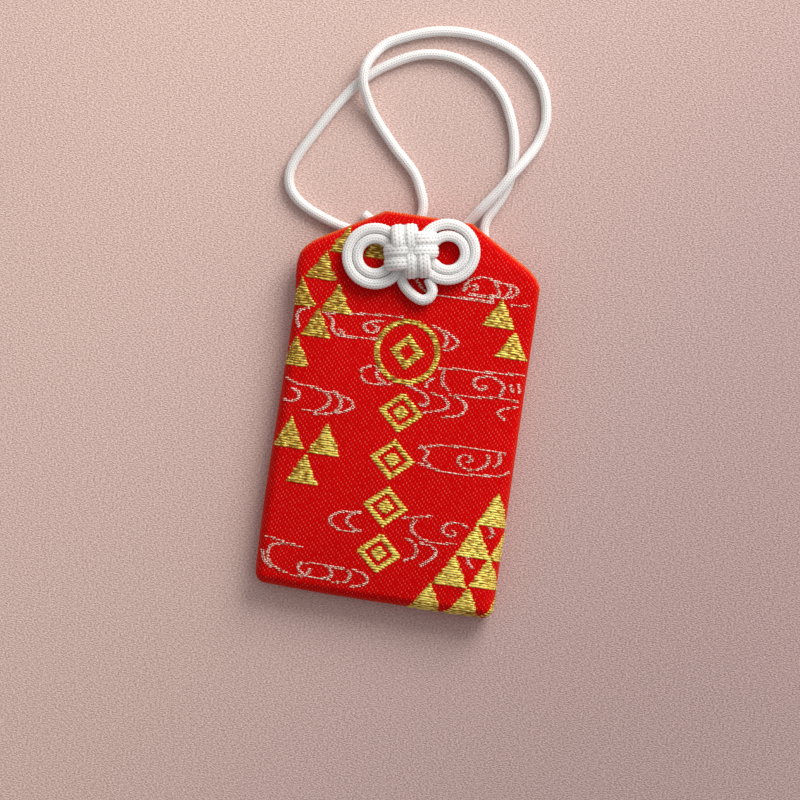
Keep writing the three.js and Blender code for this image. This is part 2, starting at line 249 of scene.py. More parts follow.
def object_coordinates(tree):
    return tree.nodes.new("ShaderNodeTexCoord").outputs["Object"]


def drawn_out_coordinates(tree, scale):
    """Object coordinates with each axis scaled: a scale below 1 draws a pattern out along its axis."""
    node = tree.nodes.new("ShaderNodeMapping")
    node.inputs["Scale"].default_value = scale
    tree.links.new(object_coordinates(tree), node.inputs["Vector"])
    return node.outputs[0]


def split_axes(tree, coordinates):
    node = tree.nodes.new("ShaderNodeSeparateXYZ")
    tree.links.new(coordinates, node.inputs[0])
    return node.outputs


def cloth_coordinates(tree):
    node = tree.nodes.new("ShaderNodeUVMap")
    node.uv_map = "cloth"
    across, along, _ = split_axes(tree, node.outputs[0])
    return node.outputs[0], across, along


def raise_surface(tree, shader, height, depth, strength=1.0):
    """Feeds a height, in units of the depth in metres, to the shader as a bump."""
    bump = tree.nodes.new("ShaderNodeBump")
    bump.inputs["Strength"].default_value = strength
    bump.inputs["Distance"].default_value = depth
    feed(tree, bump.inputs["Height"], height)
    tree.links.new(bump.outputs[0], shader.inputs["Normal"])


def new_group(name, inputs, outputs):
    """A node group with number inputs and number outputs."""
    tree = bpy.data.node_groups.new(name, "ShaderNodeTree")
    for label, value in inputs.items():
        socket = tree.interface.new_socket(label, in_out="INPUT", socket_type="NodeSocketFloat")
        socket.default_value = value
    for label in outputs:
        tree.interface.new_socket(label, in_out="OUTPUT", socket_type="NodeSocketFloat")
    return tree, tree.nodes.new("NodeGroupInput").outputs, tree.nodes.new("NodeGroupOutput").inputs


def use_group(tree, group, **values):
    node = tree.nodes.new("ShaderNodeGroup")
    node.node_tree = group
    for label, value in values.items():
        feed(tree, node.inputs[label], value)
    return node.outputs


def satin_group():
    """Binding points of a satin: one upright tick in each row of a repeat, two threads on in the next row.

    A tick is an ellipse with soft edges. The warp is a sine with one wave for each thread."""
    inputs = {"Across": 0.0, "Along": 0.0, "Pitch": 1.0, "Row": 1.0}
    tree, given, result = new_group("satin_binding", inputs, ["Speck", "Warp"])
    rows = calculate(tree, "DIVIDE", given["Along"], given["Row"])
    stepped = times(tree, calculate(tree, "FLOOR", rows), SATIN_STEP)
    repeats = plus(tree, calculate(tree, "DIVIDE", given["Across"], given["Pitch"]), stepped)
    side = minus(tree, calculate(tree, "FRACT", repeats), 0.5)
    rise = minus(tree, calculate(tree, "FRACT", rows), 0.5)
    wide = calculate(tree, "POWER", calculate(tree, "DIVIDE", side, SPECK_WIDE), 2.0)
    high = calculate(tree, "POWER", calculate(tree, "DIVIDE", rise, SPECK_TALL), 2.0)
    feed(tree, result["Speck"], remap(tree, plus(tree, wide, high), 1.1, 0.2))
    threads = times(tree, repeats, 2 * np.pi * SATIN_ENDS)
    feed(tree, result["Warp"], calculate(tree, "SINE", threads))
    return tree


def herringbone_group():
    """Height of a braid: lanes of slanted strokes along the cord, leaning the other way in the next."""
    tree, given, result = new_group("herringbone_braid", {"Lane": 0.0, "Stroke": 0.0}, ["Height"])
    across = calculate(tree, "FRACT", given["Lane"])
    number = calculate(tree, "FLOOR", given["Lane"])
    odd = calculate(tree, "FRACT", times(tree, number, 0.5))
    lean = minus(tree, BRAID_LEAN, times(tree, odd, 4 * BRAID_LEAN))
    slant = times(tree, lean, minus(tree, across, 0.5))
    phase = times(tree, plus(tree, given["Stroke"], slant), np.pi)
    stroke = calculate(tree, "ABSOLUTE", calculate(tree, "SINE", phase))
    lane = calculate(tree, "SINE", times(tree, across, np.pi))
    feed(tree, result["Height"], times(tree, lane, stroke))
    return tree


SATIN = satin_group()
HERRINGBONE = herringbone_group()


def brocade_finish():
    """Red satin ground: deep red, lighter binding points, and where the cloth folds over a warmer orange
    tone that is partly the weft showing and partly a painted highlight.
    """
    material, tree, shader = new_tree("red_brocade")
    cloth, across, along = cloth_coordinates(tree)
    satin = use_group(tree, SATIN, Across=across, Along=along, Pitch=SATIN_PITCH, Row=SPECK_ROW)
    patchy = remap(tree, speckle(tree, cloth, 2.6), 0.38, 0.62, 0.05, 1.0)
    specks = times(tree, satin["Speck"], patchy)
    slow = speckle(tree, cloth, 0.07)
    ground = blend_colours(tree, slow, (0.60, 0.0003, 0.0006, 1), (0.74, 0.0005, 0.001, 1))
    bound = blend_colours(tree, times(tree, specks, 0.9), ground, (1.0, 0.20, 0.165, 1))
    fold = tree.nodes.new("ShaderNodeAttribute")
    fold.attribute_name = "fold"
    hatch = calculate(tree, "SINE", times(tree, plus(tree, across, along), FOLD_HATCH))
    # The rim colour is partly the weft showing at the turned edge and partly a painted highlight on edges
    # facing the light.
    rim_weft_and_highlight = times(tree, fold.outputs["Fac"], remap(tree, hatch, -0.6, 0.6, 0.0, 0.9))
    flecks = remap(tree, speckle(tree, cloth, 3.2), 0.4, 0.62)
    warm = blend_colours(tree, flecks, (0.90, 0.17, 0.04, 1), (1.0, 0.44, 0.12, 1))
    feed(tree, shader.inputs["Base Color"], blend_colours(tree, rim_weft_and_highlight, bound, warm))
    shader.inputs["Roughness"].default_value = 0.55
    shader.inputs["Specular IOR Level"].default_value = 0.03
    height = plus(tree, satin["Speck"], times(tree, satin["Warp"], 0.25))
    raise_surface(tree, shader, height, 0.00006)
    return material


def lame_finish(name, colours, metallic, roughness, fineness, drawn_out, far_left, low_right):
    """Foil-wrapped thread: facets drawn out along the rows vary its roughness and paint uneven glints into
    its colour.

    Its flanks get painted shade between the rows. A painted light slope is added that goes from far_left,
    at the upper left of the pouch, to low_right, at its lower right."""
    dark, middle, bright = colours
    material, tree, shader = new_tree(name)
    facets = speckle(tree, drawn_out_coordinates(tree, (drawn_out, 1.0, 1.0)), fineness, 1.0)
    across, along, _ = split_axes(tree, object_coordinates(tree))
    corner = minus(tree, across, times(tree, along, 1.2))
    painted_light_slope = remap(tree, corner, -0.05, 0.054, far_left, low_right)
    _, _, crest = cloth_coordinates(tree)
    painted_flank_shade = remap(tree, crest, 0.2, 0.85, -0.36, 0.0)
    # Painted glints: the facet noise moves the colour between painted shade and painted highlight.
    uneven = remap(tree, facets, 0.2, 0.8, 0.05, 0.95)
    shine = plus(tree, plus(tree, uneven, painted_light_slope), painted_flank_shade)
    lower = blend_colours(tree, remap(tree, shine, 0.3, 0.48), dark, middle)
    lit = blend_colours(tree, remap(tree, shine, 0.48, 0.68), lower, bright)
    feed(tree, shader.inputs["Base Color"], lit)
    polish = remap(tree, facets, 0.3, 0.7, roughness + 0.12, roughness - 0.08)
    feed(tree, shader.inputs["Roughness"], polish)
    shader.inputs["Metallic"].default_value = metallic
    raise_surface(tree, shader, facets, 0.00006, 0.6)
    return material


def braid_finish():
    """White braid: bright strokes, painted shade in the grooves between them, a soft silky sheen."""
    material, tree, shader = new_tree("white_braid")
    _, lane, stroke = cloth_coordinates(tree)
    height = use_group(tree, HERRINGBONE, Lane=lane, Stroke=stroke)["Height"]
    fibres = speckle(tree, object_coordinates(tree), 3000.0)
    # Painted groove shade: the colour greys where the strokes sink between each other.
    raised = remap(tree, height, 0.0, 0.24)
    lit = times(tree, raised, remap(tree, fibres, 0.2, 0.8, 0.9, 1.0))
    colours = blend_colours(tree, lit, (0.46, 0.455, 0.45, 1), (0.98, 0.975, 0.97, 1))
    feed(tree, shader.inputs["Base Color"], colours)
    shader.inputs["Roughness"].default_value = 0.6
    shader.inputs["Subsurface Weight"].default_value = 0.8
    shader.inputs["Subsurface Radius"].default_value = (1.0, 0.95, 0.9)
    shader.inputs["Subsurface Scale"].default_value = 0.0012
    raise_surface(tree, shader, fibres, 0.00003, 0.5)
    return material


def thread_finish():
    """Red sewing thread: a fine twist along it."""
    material, tree, shader = new_tree("red_sewing_thread")
    twist = speckle(tree, object_coordinates(tree), 5000.0, 1.0)
    colours = blend_colours(tree, twist, (0.36, 0.004, 0.008, 1), (0.60, 0.012, 0.02, 1))
    feed(tree, shader.inputs["Base Color"], colours)
    shader.inputs["Roughness"].default_value = 0.6
    raise_surface(tree, shader, twist, 0.00005)
    return material


def fibre_finish(name, dark, light, scale, roughness, grain):
    """A plain fibrous material, such as felt, card, paper or wood, with grain drawn out along the part."""
    material, tree, shader = new_tree(name)
    fibres = speckle(tree, drawn_out_coordinates(tree, (1.0, grain, 1.0)), scale, 4.0)
    feed(tree, shader.inputs["Base Color"], blend_colours(tree, fibres, dark, light))
    shader.inputs["Roughness"].default_value = roughness
    raise_surface(tree, shader, fibres, 0.0001)
    return material


def paper_floor_finish():
    """Pale dusty-pink paper with a fine pressed grain, and painted light that makes it lighter towards its
    far left.
    """
    material, tree, shader = new_tree("pink_paper")
    grain = speckle(tree, drawn_out_coordinates(tree, (0.55, 1.0, 1.0)), 4600.0, 3.0)
    across, along, _ = split_axes(tree, object_coordinates(tree))
    far_left = minus(tree, times(tree, along, 0.3), across)
    painted_light_share = remap(tree, far_left, -0.09, 0.09)
    tint = remap(tree, grain, 0.3, 0.7)
    # near is the dimmer paper and far is the paper under the painted light.
    near = blend_colours(tree, tint, (0.36, 0.24, 0.23, 1), (0.69, 0.505, 0.49, 1))
    far = blend_colours(tree, tint, (0.575, 0.388, 0.345, 1), (1.0, 0.76, 0.69, 1))
    feed(tree, shader.inputs["Base Color"], blend_colours(tree, painted_light_share, near, far))
    shader.inputs["Roughness"].default_value = 0.9
    raise_surface(tree, shader, grain, 0.0003, 0.7)
    return material


RED_BROCADE = brocade_finish()
# Gold goes from painted shade through its own tone to painted highlight. Its painted light slope is
# brighter at the lower right.
GOLD_COLOURS = [(0.36, 0.17, 0.015, 1), (0.88, 0.56, 0.06, 1), (1.0, 0.87, 0.19, 1)]
GOLD_THREAD = lame_finish("gold_thread", GOLD_COLOURS, metallic=0.4, roughness=0.36, fineness=2600.0,
                          drawn_out=0.4, far_left=-0.1, low_right=0.17)
# Silver goes from painted shade through its own tone to painted highlight. Its painted light slope is a
# little brighter at the upper left.
SILVER_COLOURS = [(0.26, 0.07, 0.02, 1), (0.95, 0.46, 0.33, 1), (1.0, 0.86, 0.76, 1)]
SILVER_THREAD = lame_finish("silver_thread", SILVER_COLOURS, metallic=0.15, roughness=0.4, fineness=3200.0,
                            drawn_out=0.6, far_left=0.18, low_right=0.1)
WHITE_BRAID = braid_finish()


# The pouch

def half_width(y):
    """Half the pouch's width: flared sides, shoulders that slope to the mouth, and round bottom corners.

    Sides and shoulders join by a smooth minimum: the lower line, less a parabola where they are close."""
    side = POUCH_WIDTH / 2 + BOTTOM_FLARE * (TOP - y) / POUCH_LENGTH
    slope = (POUCH_WIDTH - MOUTH_WIDTH) / (2 * SHOULDER_DROP)
    shoulder = MOUTH_WIDTH / 2 + (TOP - y) * slope
    soft = SHOULDER_ROUNDING * slope
    near = np.clip(soft - np.abs(side - shoulder), 0, None) / soft
    rounded = np.minimum(side, shoulder) - near ** 2 * soft / 4
    below = CORNER_RADIUS - np.minimum(y - BOTTOM, CORNER_RADIUS)
    return rounded - CORNER_RADIUS + np.sqrt(np.clip(CORNER_RADIUS ** 2 - below ** 2, 0, None))


def uneven_side(x, y):
    """How far the left side stands off its even line, across and along.

    A bell curve pushes it out below the shoulder, and the square of the nearness to the bottom draws it in
    and up at the corner. Both fade by the square of the share of the way to the side."""
    left = np.clip(-x / half_width(y), 0, 1) ** 2
    shoulder = np.exp(-((TOP - BULGE_DROP - y) / BULGE_REACH) ** 2)
    low = np.clip((BOTTOM + CORNER_REACH - y) / CORNER_REACH, 0, 1) ** 2
    return left * (CORNER_DRAWN_IN * low - SIDE_BULGE * shoulder), left * CORNER_DRAWN_UP * low


def edge_slant(y):
    """How much longer a step across is than one square to the edge: the root of 1 + slope^2."""
    step = 0.02
    low = np.clip(y - step / 2, BOTTOM + CORNER_RADIUS, TOP - step)
    slope = (half_width(low + step) - half_width(low)) / step
    return np.hypot(1, slope)


def back_height(y):
    """The back lies on the table, and lifts over the cord towards the mouth."""
    return MOUTH_LIFT * smooth_share(y, TOP - LIFT_START, TOP - LIFT_END)


def seam_height(y):
    return (back_height(y) + FRONT_LEVEL) / 2


def pinched(turn):
    """How far out a turning edge reaches: the sine of its turn, drawn in by an eighth power at the seam."""
    return np.sin(turn) * (1 - SEAM_PINCH * (np.abs(turn) / (np.pi / 2)) ** 8)


def four_nearest(place, count):
    """The four grid lines nearest to a place, and their Catmull-Rom weights."""
    first = np.clip(np.floor(place).astype(int), 0, count - 2)
    t = place - first
    share = np.stack([-t + 2 * t ** 2 - t ** 3, 2 - 5 * t ** 2 + 3 * t ** 3,
                      t + 4 * t ** 2 - 3 * t ** 3, t ** 3 - t ** 2], axis=-1) / 2
    return np.clip(first[..., None] + np.arange(-1, 3), 0, count - 1), share


class Panel:
    """One face of the pouch as a grid: an edge that turns through a quarter round, then even steps between.

    A point of the cloth is found from its flat place, across and along with the turned edges rolled out."""

    edge_steps = 8

    def __init__(self, side, rows, columns):
        self.side = side
        self.rows = rows
        self.columns = columns
        self.points = self.sewn(self.station_list(rows), self.station_list(columns))

    def station_list(self, middle):
        return np.arange(middle + 2 * self.edge_steps + 1, dtype=float)

    def station(self, index, middle):
        """Where a grid line lies: its share of the flat part, and its signed angle of turning over."""
        flat_index = index - self.edge_steps
        over = np.clip(flat_index - middle, 0, None) + np.clip(flat_index, None, 0)
        return np.clip(flat_index / middle, 0, 1), over / self.edge_steps * np.pi / 2

    def stations(self, row_index, column_index):
        """Flat heights and turns of rows, then places from -1 to 1 and turns of columns."""
        row_share, row_turn = self.station(row_index, self.rows)
        column_share, column_turn = self.station(column_index, self.columns)
        flat_y = (1 - row_share) * (BOTTOM + EDGE_ROUND) + row_share * (TOP - EDGE_ROUND)
        return flat_y, row_turn, 2 * column_share - 1, column_turn

    def sewn(self, row_index, column_index):
        """Sewn shape before it is filled: the edge is a quarter round, drawn in a little at the seam."""
        flat_y, row_turn, sideways, column_turn = self.stations(row_index, column_index)
        y = flat_y + EDGE_ROUND * pinched(row_turn)
        slant = edge_slant(y) * EDGE_ROUND
        reach = (half_width(y) - slant)[:, None]
        x = reach * sideways[None] + slant[:, None] * pinched(column_turn)[None]
        swell = np.cos(row_turn)[:, None] * np.cos(column_turn)[None]
        level = np.full_like(y, FRONT_LEVEL) if self.side > 0 else back_height(y)
        z = seam_height(y)[:, None] * (1 - swell) + level[:, None] * swell
        across, along = uneven_side(x, y[:, None])
        return np.stack([x + across, y[:, None] + along, z], axis=-1)

    def flat_place(self, row_index, column_index):
        """Across and along on the rolled-out cloth, for each crossing of grid lines."""
        flat_y, row_turn, sideways, column_turn = self.stations(row_index, column_index)
        along = flat_y + EDGE_ROUND * row_turn
        slant = edge_slant(flat_y) * EDGE_ROUND
        reach = half_width(flat_y) - slant
        across = reach[:, None] * sideways[None] + slant[:, None] * column_turn[None]
        return across, np.broadcast_to(along[:, None], across.shape)

    def line_number(self, place, low, high, edge, middle):
        """Grid line, with fractions, at a flat place: even from low to high, and round edges past them."""
        over = (np.clip(place - high, 0, None) + np.clip(place - low, None, 0)) / (edge * np.pi / 2)
        return self.edge_steps * (1 + over) + middle * np.clip((place - low) / (high - low), 0, 1)

    def grid_place(self, across, along):
        """Row and column of the grid, with fractions, at a flat place of the cloth."""
        low, high = BOTTOM + EDGE_ROUND, TOP - EDGE_ROUND
        flat_y = np.clip(along, low, high)
        slant = edge_slant(flat_y) * EDGE_ROUND
        reach = half_width(flat_y) - slant
        row = self.line_number(along, low, high, EDGE_ROUND, self.rows)
        return row, self.line_number(across, -reach, reach, slant, self.columns)

    def between(self, row, column):
        """Points between grid lines, from the four by four nearest crossings by Catmull-Rom weights."""
        rows, columns = self.points.shape[:2]
        row_near, row_share = four_nearest(np.clip(row, 0, rows - 1), rows)
        column_near, column_share = four_nearest(np.clip(column, 0, columns - 1), columns)
        near = self.points[row_near[..., :, None], column_near[..., None, :]]
        return np.einsum("...ijk,...i,...j->...k", near, row_share, column_share)

    def on_cloth(self, across, along):
        """Points and outward normals of the cloth; the normal is the cross product of two short steps."""
        row, column = self.grid_place(across, along)
        step = 0.2
        sideways = self.between(row, column + step) - self.between(row, column - step)
        lengthways = self.between(row + step, column) - self.between(row - step, column)
        return self.between(row, column), self.side * unit(np.cross(sideways, lengthways))


def fill_out(panel):
    """Swells the front panel: the cloth is held at its seam and under the knot, with pressure behind it.

    It is simulated enlarged, and its movement is scaled so that the most is PAD_RISE."""
    x, y, z = np.moveaxis(panel.points, -1, 0)
    under_knot = np.exp(-((x - KNOT_CENTRE[0]) ** 2 + (y - KNOT_CENTRE[1]) ** 2) / KNOT_HOLD ** 2)
    enlarged = 10.0
    held = under_knot > 0.6
    held[[0, -1]] = True
    held[:, [0, -1]] = True
    cloth = make_piece("filling", panel.points.reshape(-1, 3) * enlarged, grid_faces(*z.shape), RED_BROCADE)
    cloth.vertex_groups.new(name="held").add(np.flatnonzero(held).tolist(), 1.0, "REPLACE")
    settings = cloth.modifiers.new("filling", "CLOTH").settings
    settings.vertex_group_mass = "held"
    settings.quality = 8
    settings.mass = 0.2
    settings.air_damping = 3.0
    settings.shrink_min = -0.004
    settings.bending_stiffness = 2.0
    settings.use_pressure = True
    settings.uniform_pressure_force = 4.0
    settings.effector_weights.gravity = 0.0
    last_moment = 25
    for moment in range(1, last_moment + 1):
        bpy.context.scene.frame_set(moment)
    settled = cloth.evaluated_get(bpy.context.evaluated_depsgraph_get()).data
    places = np.empty(3 * len(settled.vertices))
    settled.vertices.foreach_get("co", places)
    bpy.context.scene.frame_set(1)
    bpy.data.objects.remove(cloth)
    movement = places.reshape(panel.points.shape) / (MM * enlarged) - panel.points
    panel.points += movement * (PAD_RISE / movement[..., 2].max())


def brocade_panel(name, panel, rows, columns):
    """The cloth of one panel: its grid in finer steps, with the fold mask greatest where it turns over."""
    row_index = np.linspace(0, panel.rows + 2 * panel.edge_steps, rows)
    column_index = np.linspace(0, panel.columns + 2 * panel.edge_steps, columns)
    row, column = np.meshgrid(row_index, column_index, indexing="ij")
    points = panel.between(row, column)
    faces = grid_faces(rows, columns)[:, ::panel.side]
    across, along = panel.flat_place(row_index, column_index)
    flat = np.stack([across, along], axis=-1).reshape(-1, 2)
    piece = make_piece(name, points.reshape(-1, 3), faces, RED_BROCADE, flat[faces])
    turn = np.maximum(np.abs(panel.station(row_index, panel.rows)[1])[:, None],
                      np.abs(panel.station(column_index, panel.columns)[1])[None])
    fold = piece.data.attributes.new("fold", "FLOAT", "POINT")
    # The fold mask, weft showing plus painted highlight, is strongest toward the mouth.
    rim_toward_mouth = smooth_share(along, TOP - RIM_START, TOP - RIM_END) * (1 - RIM_LEAST) + RIM_LEAST
    fold.data.foreach_set("value", (smooth_share(turn, FOLD_START, FOLD_END) * rim_toward_mouth).ravel())
    return piece


# The woven pattern: rows of weft, each row a list of stretches where a coloured thread lies on top

def row_stretches(low, high, shape):
    """Weft rows between two heights, with the stretches that a shape covers on each."""
    rows = np.arange(np.round(low / WEFT_PITCH), np.round(high / WEFT_PITCH) + 1)
    heights = rows * WEFT_PITCH
    return [(height, left, right) for height in heights for left, right in shape(height)]


def laid(points):
    """Places of the pattern on the cloth: its own top edge lies on the mouth, and it leans a little."""
    x, y = np.asarray(points, dtype=float).T
    return np.stack([x - PATTERN_LEAN * (PATTERN_TOP - y), y + TOP - PATTERN_TOP], axis=1)


def scale_triangle(x, apex, base_half, tall):
    """An upright triangle of the fish-scale pattern, one stretch in each row."""
    uneven = np.random.default_rng(int(abs(100 * x + apex)))

    def shape(height):
        half = TIP_HALF + max(apex - height, 0) / tall * (base_half - TIP_HALF)
        stray = RAGGED * min(half, 1)
        return [(x - half - uneven.uniform(-stray, stray), x + half + uneven.uniform(-stray, stray))]
    return row_stretches(apex - tall, apex, shape)


def band(inner, outer, x, y, reach):
    """The rows of a band between two closed outlines, given as half widths at a height from the middle."""
    def shape(height):
        wide = outer(height - y)
        narrow = inner(height - y)
        if narrow <= 0:
            return [(x - wide, x + wide)]
        return [(x - wide, x - narrow), (x + narrow, x + wide)]
    return row_stretches(y - reach, y + reach, shape)


def round_half(radius):
    """Half a circle's width at a height from its middle."""
    return lambda height: float(np.sqrt(max(radius ** 2 - height ** 2, 0)))


def lozenge_half(wide, tall):
    """Half a lozenge's width at a height from its middle."""
    return lambda height: max(wide * (1 - abs(height) / tall), 0)


# Fish-scale groups: half the base and the height of a triangle, and where the tips are
SCALE_GROUPS = [
    (2.85, 5.1, [(-15, 32.2), (-8.5, 32.2), (-18.1, 26.8), (-21.6, 21.1), (-14.8, 21), (-18.1, 15.8),
                 (-21.5, 10)]),
    (3.15, 5.0, [(16.2, 22.7), (19.7, 17)]),
    (3.05, 5.5, [(-20.1, -5.5), (-13, -5.8), (-16.3, -12)]),
    (3.4, 5.9, [(21.4, -14), (18.3, -20.5), (24.9, -20.5), (14.8, -26.8), (21.7, -26.4), (11, -32.8),
                (18.4, -32.7), (25.2, -32.8)]),
]
WOVEN_RING_PLACE = (-0.2, 10.2)
LOZENGE_PLACES = [(0.4, -1.4), (0.2, -10.5), (0.3, -19.6), (0.4, -28.6)]


def gold_pattern():
    """Fish-scale groups, then a plain ring with a lozenge in it and a column of plain lozenges."""
    stretches = []
    for base_half, tall, tips in SCALE_GROUPS:
        for x, apex in laid(tips):
            stretches += scale_triangle(x, apex, base_half, tall)
    x, y = laid([WOVEN_RING_PLACE])[0]
    stretches += band(round_half(5.3), round_half(6.25), x, y, reach=6.2)
    stretches += band(lozenge_half(1.6, 1.7), lozenge_half(3.3, 3.4), x, y, reach=3.4)
    for x, y in laid(LOZENGE_PLACES):
        stretches += band(lozenge_half(2.9, 2.7), lozenge_half(4.3, 3.9), x, y, reach=3.9)
        stretches += band(lozenge_half(0, 1), lozenge_half(1.6, 1.5), x, y, reach=1.4)
    return stretches


# Flowing water: how wide a stroke is, across and along, and the lines that strokes follow
WATER_STROKE = np.array([0.66, 0.1])
WATER_LINES = [
    [(-1, 24.6), (1.4, 22.3), (4, 21.9), (9, 21.8), (14.8, 22)], [(8, 22.1), (11.6, 22.1), (14.6, 22.3)],
    [(18, 22), (21.6, 22.4)], [(9.8, 23), (12.4, 23.1), (15, 23.3)],
    [(8.7, 23.4), (9.3, 25.4), (12, 26.5), (15, 26), (18, 25.6), (18.8, 24.6), (17.5, 23.4), (13, 22.8),
     (9.6, 22.7)],
    [(8.8, 23.5), (9.4, 24.4), (10.6, 24.8), (11.2, 24.2), (10.2, 23.7)],
    [(14.3, 25.9), (15.1, 24.8), (15.4, 23.5)], [(16.6, 25.8), (17.5, 24.8), (17, 23.8)],
    [(-20, 15.8), (-21.8, 15), (-22.2, 13.5), (-21.5, 12)],
    [(-17.4, 15.3), (-13, 15.7), (-8, 16.3), (-2, 16.7)],
    [(-17, 15.4), (-15.2, 14), (-15, 12.5), (-14, 11.6), (-12.9, 12.1), (-13.8, 12.6)],
    [(-14, 11.4), (-10, 11.5), (-5.6, 11.9)],
    [(-5.4, 15.4), (-7.5, 15), (-9, 14.2), (-8.6, 13.1), (-7, 13), (-6.4, 14), (-7.6, 14.3)],
    [(3.8, 16), (6, 15), (7, 13.5), (6.5, 12.2)], [(6.3, 15.2), (8.6, 14), (9, 13), (8, 12), (6.6, 11.5)],
    [(6.2, 8), (10, 8.4), (15, 8.6), (23, 9.2)], [(7.4, 7.8), (7.2, 6.2), (7.6, 5), (8.8, 4.2)],
    [(5.6, 6.1), (4.6, 5.1), (4.4, 4.2)], [(10, 3.4), (14, 3.6), (18, 4.1), (22.6, 4)],
    [(18.7, 4.6), (19.1, 6.4), (17.6, 7.6), (15.6, 7.8), (13.6, 7.2), (13.4, 6), (14.6, 5.2), (15.8, 5.7),
     (15.1, 6.2)],
    [(20.4, 6.9), (21, 5.6)], [(22, 7.4), (22.5, 5.6)],
    [(-8.4, 5), (-7.8, 6), (-6, 6.6), (-5, 5.8)], [(-8.2, 4.6), (-7, 3.4), (-4, 3.4), (-2.2, 3.8)],
    [(-5.4, 5.4), (-4.8, 4.4), (-3.4, 3.9)],
    [(0.6, 4), (2.6, 3.4), (4.4, 2.6), (5.2, 1.4), (4.4, 0.4), (3.6, 0.9)],
    [(5.5, 3.2), (8, 2.6), (9.2, 1.2), (8, 0.2), (6, -0.4), (4.4, -0.8)],
    [(9, 3.4), (11.6, 2.6), (12.6, 1.2), (11.6, -0.2), (9.6, -0.8), (8, -1.2)],
    [(22.8, 3), (20.4, 2.4), (18.8, 1.4), (20.2, 0.2)],
    [(-22.6, 2), (-20, 1.2), (-17, 0.9), (-14.5, 0.4), (-12, 0.6)],
    [(-16.4, 0.9), (-14, 0), (-13.4, -1.4), (-14.4, -2.8), (-16, -3.5), (-18.4, -3.6)],
    [(-13, 0.6), (-11.4, -0.6), (-11.2, -2), (-12.4, -3.3), (-14.5, -3.9), (-16, -4.1)],
    [(-11.6, 0.2), (-9.4, -0.6), (-8.8, -1.8), (-10.4, -2.8), (-12, -3.4)],
    [(-22.6, -2), (-21, -2.4), (-19.6, -1.6), (-19.6, -0.4), (-21, 0.2)],
    [(4.8, -7.6), (8, -6.6), (12, -6.2), (17, -6), (21.6, -6.2)],
    [(5, -7), (6.6, -8), (6.2, -9.4), (7.4, -10.6)],
    [(5.2, -10.4), (9, -11.2), (13, -11.4), (17, -11), (21, -10.6), (22.8, -9.6)],
    [(18.2, -7), (18.4, -8.4), (17, -9.8), (14.6, -10.2), (12.8, -9.2), (13, -7.9), (14.4, -7.6),
     (15.2, -8.4), (14.2, -8.9)], [(20.4, -6.4), (20.6, -8), (19.6, -9)],
    [(-4, -21.4), (-7, -21.6), (-9, -22.4), (-9.8, -23.6), (-8.8, -24.8), (-6.6, -25.4), (-3.6, -24.8)],
    [(-4, -21.2), (-5.8, -22), (-6.6, -23.4), (-5.4, -24.4), (-4, -25)],
    [(3.8, -21.2), (6, -20.8), (9.4, -20)],
    [(6.4, -21.2), (5.8, -22.4), (6.2, -23.6), (8, -24.6), (11, -25), (14.8, -24.6)],
    [(16.6, -21.2), (14.4, -20.6), (12.2, -21.2), (11.8, -22.4), (13, -23.3), (14.4, -22.8), (13.6, -22.2)],
    [(5, -25), (6.4, -25.4), (7.4, -26.6), (7.2, -28.2), (5.4, -29.2)],
    [(7.8, -25.4), (10.2, -25.8), (11.2, -27), (10.2, -28.4), (8.6, -29.8)],
    [(20.8, -20.6), (21.6, -21.8), (20.6, -22.6)], [(17.2, -26.6), (17.8, -28), (18.8, -28.8)],
    [(-22, -28.6), (-19, -29), (-17, -29.4), (-14.2, -29.6)],
    [(-17.6, -29.6), (-20, -30), (-21, -31.2), (-20.6, -33), (-19, -34.4), (-16.6, -35.3)],
    [(-22.3, -31.6), (-21.6, -33.2), (-20, -34.5)], [(-16, -35.6), (-12, -35.2), (-8, -35.3)],
    [(-12.6, -32.8), (-14.4, -33), (-14.2, -34.4), (-12.8, -34.8), (-12.2, -33.8)],
    [(-12.5, -32.4), (-9.8, -32.4), (-8.2, -33.2), (-8.2, -34.6), (-10.4, -35.2)],
    [(-8.6, -32.6), (-5.6, -32.6), (-4.4, -33.6), (-5, -35), (-7.6, -35.5)],
    [(-4.2, -32.4), (-1.8, -33), (-1, -34.2), (-1.8, -35.2), (-4, -35.8)],
]


def silver_pattern():
    """Flowing-water lines, woven: each weft row takes the stretches that a ribbon along the line covers."""
    least_gap = 0.4
    longer = 0.1
    stretches = []
    for line in WATER_LINES:
        middle = through(laid(line), step=0.08)
        sideways = unit(np.gradient(middle, axis=0))[:, ::-1] * (1, -1)
        spread = np.linspace(-0.5, 0.5, 5)[:, None, None] * WATER_STROKE
        x, y = (middle + spread * sideways).reshape(-1, 2).T
        rows = np.round(y / SILVER_PITCH).astype(int)
        for row in np.unique(rows):
            covered = np.sort(x[rows == row])
            runs = np.split(covered, np.flatnonzero(np.diff(covered) > least_gap) + 1)
            stretches += [(row * SILVER_PITCH, run[0] - longer, run[-1] + longer) for run in runs]
    return stretches


def bound_floats(stretches, row_pitch, pitch, shift, gap, shortest):
    """Stretches cut at the binding points, which shift by a share of their pitch from row to row.

    A sine of a point's number and height moves it by up to three tenths of the pitch."""
    past_edge = 0.8
    floats = []
    for height, left, right in stretches:
        reach = half_width(height) + past_edge
        left, right = max(left, -reach), min(right, reach)
        first = pitch * (shift * round(height / row_pitch) % 1)
        cuts = np.arange(np.floor((left - first) / pitch) + 1, np.ceil((right - first) / pitch))
        cuts = cuts + 0.3 * np.sin(17 * cuts + 5 * height)
        ends = np.concatenate([[left], np.clip(cuts * pitch + first, left, right), [right]])
        floats += [(height, start + gap / 2, end - gap / 2) for start, end in zip(ends[:-1], ends[1:])
                   if end - start > shortest + gap]
    return np.array(floats)


